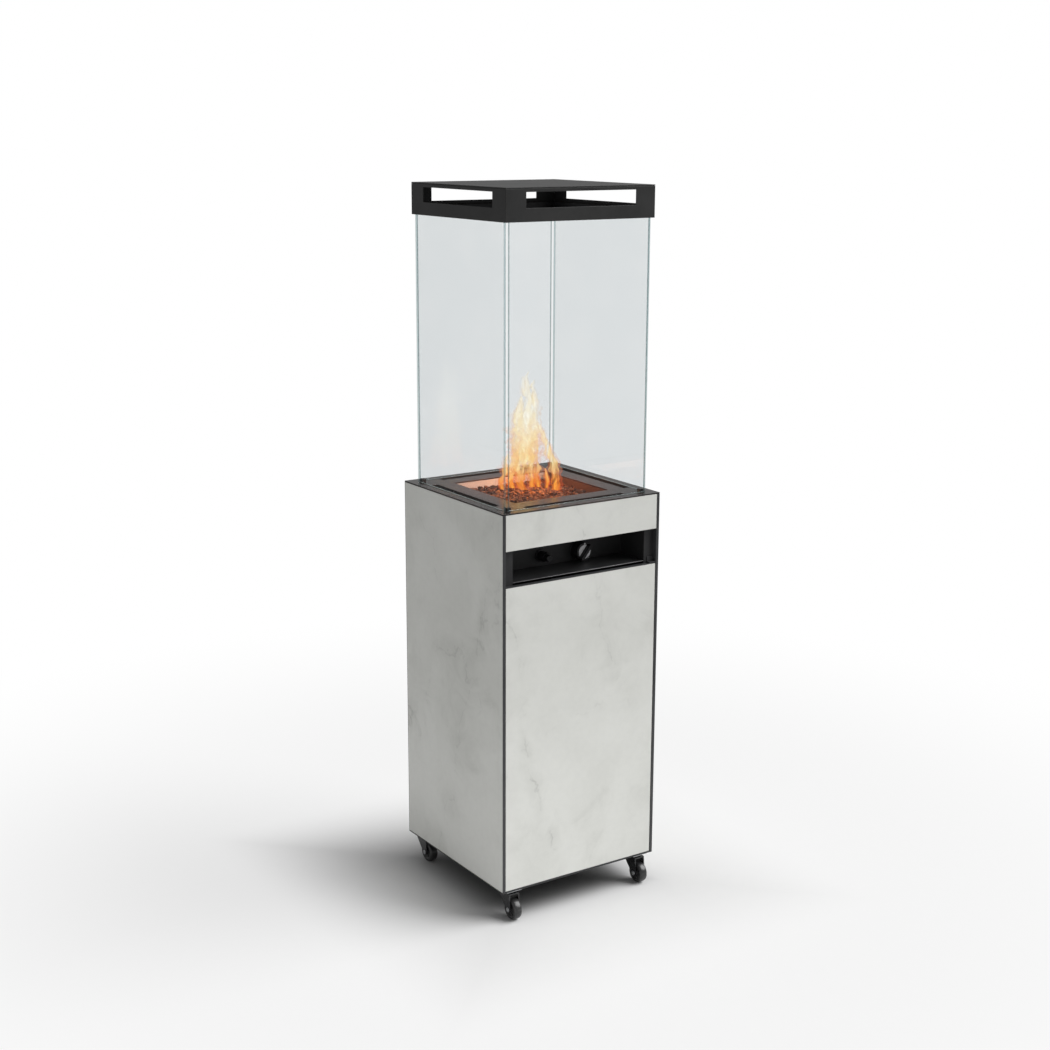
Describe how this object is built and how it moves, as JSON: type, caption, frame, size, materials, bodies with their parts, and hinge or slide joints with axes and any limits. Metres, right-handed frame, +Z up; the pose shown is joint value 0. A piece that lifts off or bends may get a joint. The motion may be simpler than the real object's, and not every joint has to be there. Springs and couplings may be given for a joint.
{
  "type": "patio heater",
  "caption": "Square gas patio heater: stone-clad cabinet on casters with a bottle door and control niche, glass flame chamber over a lava bed, slotted steel hood.",
  "frame": {"origin": "on the floor, under the middle of the cabinet", "axes": "+Z up, front with door and controls towards -Y, +X to the right seen from the front"},
  "size_m": [0.43, 0.446, 1.6595],
  "materials": {
    "stone_cladding": "matt sintered stone with faint grey veins",
    "black_steel": "fine-textured black powder coat",
    "edge_steel": "satin anthracite paint",
    "zinc_steel": "bright zinc plate",
    "stainless": "heat-tinted stainless steel",
    "bright_chrome": "polished chrome",
    "brass": "machined",
    "black_plastic": "satin moulded plastic",
    "caster_rubber": "smooth dark rubber",
    "clear_glass": "clear toughened glass with polished edges",
    "lava_stone": "porous brown lava chips"
  },
  "bodies": {
    "root": {"base_tray": "black_steel", "rear_frame": "black_steel", "stone_panel_rear": "stone_cladding", "front_frame": "black_steel", "stone_panel_upper_front": "stone_cladding", "control_box": "black_steel", "top_plate": "black_steel", "burner_pan": "black_steel", "lava_grate": "zinc_steel", "lava_bed": "lava_stone", "burner_ring": "stainless", "heat_shield": "zinc_steel", "pilot_burner": "stainless", "thermocouple": "brass", "spark_electrode": "stainless", "ignition_lead": "black_plastic", "pilot_pipe": "brass", "supply_pipe": "brass", "gas_valve": "brass", "inlet_nozzle": "brass", "tilt_switch": "black_plastic", "piezo_igniter": "black_plastic", "igniter_bezel": "black_plastic", "knob_bezel": "bright_chrome", "hinge_bracket": "edge_steel", "door_magnet": "black_plastic", "hood_skirt": "black_steel", "hood_lid": "black_steel", "glass_retainer": "black_steel", "side_frame_left": "edge_steel", "side_frame_right": "edge_steel", "stone_panel_left": "stone_cladding", "stone_panel_right": "stone_cladding", "glass_front": "clear_glass", "glass_right": "clear_glass", "glass_rear": "clear_glass", "glass_left": "clear_glass", "caster_plate_front_left": "zinc_steel", "caster_plate_front_right": "zinc_steel", "caster_plate_rear_left": "zinc_steel", "caster_plate_rear_right": "zinc_steel"},
    "door": {"door_stone": "stone_cladding", "door_backing": "edge_steel"},
    "spindle": {"valve_spindle": "brass"},
    "knob": {"control_knob": "black_plastic"},
    "igniter": {"igniter_button": "black_plastic"},
    "swivel_front_left": {"caster_fork_front_left": "black_plastic", "caster_axle_front_left": "zinc_steel"},
    "wheel_front_left": {"caster_wheel_front_left": "caster_rubber"},
    "swivel_front_right": {"caster_fork_front_right": "black_plastic", "caster_axle_front_right": "zinc_steel"},
    "wheel_front_right": {"caster_wheel_front_right": "caster_rubber"},
    "swivel_rear_left": {"caster_fork_rear_left": "black_plastic", "caster_axle_rear_left": "zinc_steel"},
    "wheel_rear_left": {"caster_wheel_rear_left": "caster_rubber"},
    "swivel_rear_right": {"caster_fork_rear_right": "black_plastic", "caster_axle_rear_right": "zinc_steel"},
    "wheel_rear_right": {"caster_wheel_rear_right": "caster_rubber"}
  },
  "joints": [
    {"name": "door_hinge", "type": "hinge", "parent": "root", "child": "door", "pos_m": [0.199, -0.2115, 0.438], "axis": [0, 0, 1], "range_deg": [0, 100]},
    {"name": "knob_turn", "type": "hinge", "parent": "root", "child": "spindle", "pos_m": [0.058, -0.13, 0.828], "axis": [0, -1, 0], "range_deg": [0, 210]},
    {"name": "knob_push", "type": "slide", "parent": "spindle", "child": "knob", "axis": [0, 1, 0], "range_m": [0, 0.004], "stiffness_N_per_m": 800},
    {"name": "igniter_push", "type": "slide", "parent": "root", "child": "igniter", "axis": [0, 1, 0], "range_m": [0, 0.004], "stiffness_N_per_m": 800},
    {"name": "caster_swivel_front_left", "type": "hinge", "parent": "root", "child": "swivel_front_left", "pos_m": [-0.181, -0.19, 0.065], "axis": [0, 0, 1], "continuous": true},
    {"name": "wheel_spin_front_left", "type": "hinge", "parent": "swivel_front_left", "child": "wheel_front_left", "pos_m": [-0.181, -0.206, 0.025], "axis": [1, 0, 0], "continuous": true},
    {"name": "caster_swivel_front_right", "type": "hinge", "parent": "root", "child": "swivel_front_right", "pos_m": [0.181, -0.19, 0.065], "axis": [0, 0, 1], "continuous": true},
    {"name": "wheel_spin_front_right", "type": "hinge", "parent": "swivel_front_right", "child": "wheel_front_right", "pos_m": [0.181, -0.206, 0.025], "axis": [1, 0, 0], "continuous": true},
    {"name": "caster_swivel_rear_left", "type": "hinge", "parent": "root", "child": "swivel_rear_left", "pos_m": [-0.181, 0.19, 0.065], "axis": [0, 0, 1], "continuous": true},
    {"name": "wheel_spin_rear_left", "type": "hinge", "parent": "swivel_rear_left", "child": "wheel_rear_left", "pos_m": [-0.181, 0.174, 0.025], "axis": [1, 0, 0], "continuous": true},
    {"name": "caster_swivel_rear_right", "type": "hinge", "parent": "root", "child": "swivel_rear_right", "pos_m": [0.181, 0.19, 0.065], "axis": [0, 0, 1], "continuous": true},
    {"name": "wheel_spin_rear_right", "type": "hinge", "parent": "swivel_rear_right", "child": "wheel_rear_right", "pos_m": [0.181, 0.174, 0.025], "axis": [1, 0, 0], "continuous": true}
  ]
}
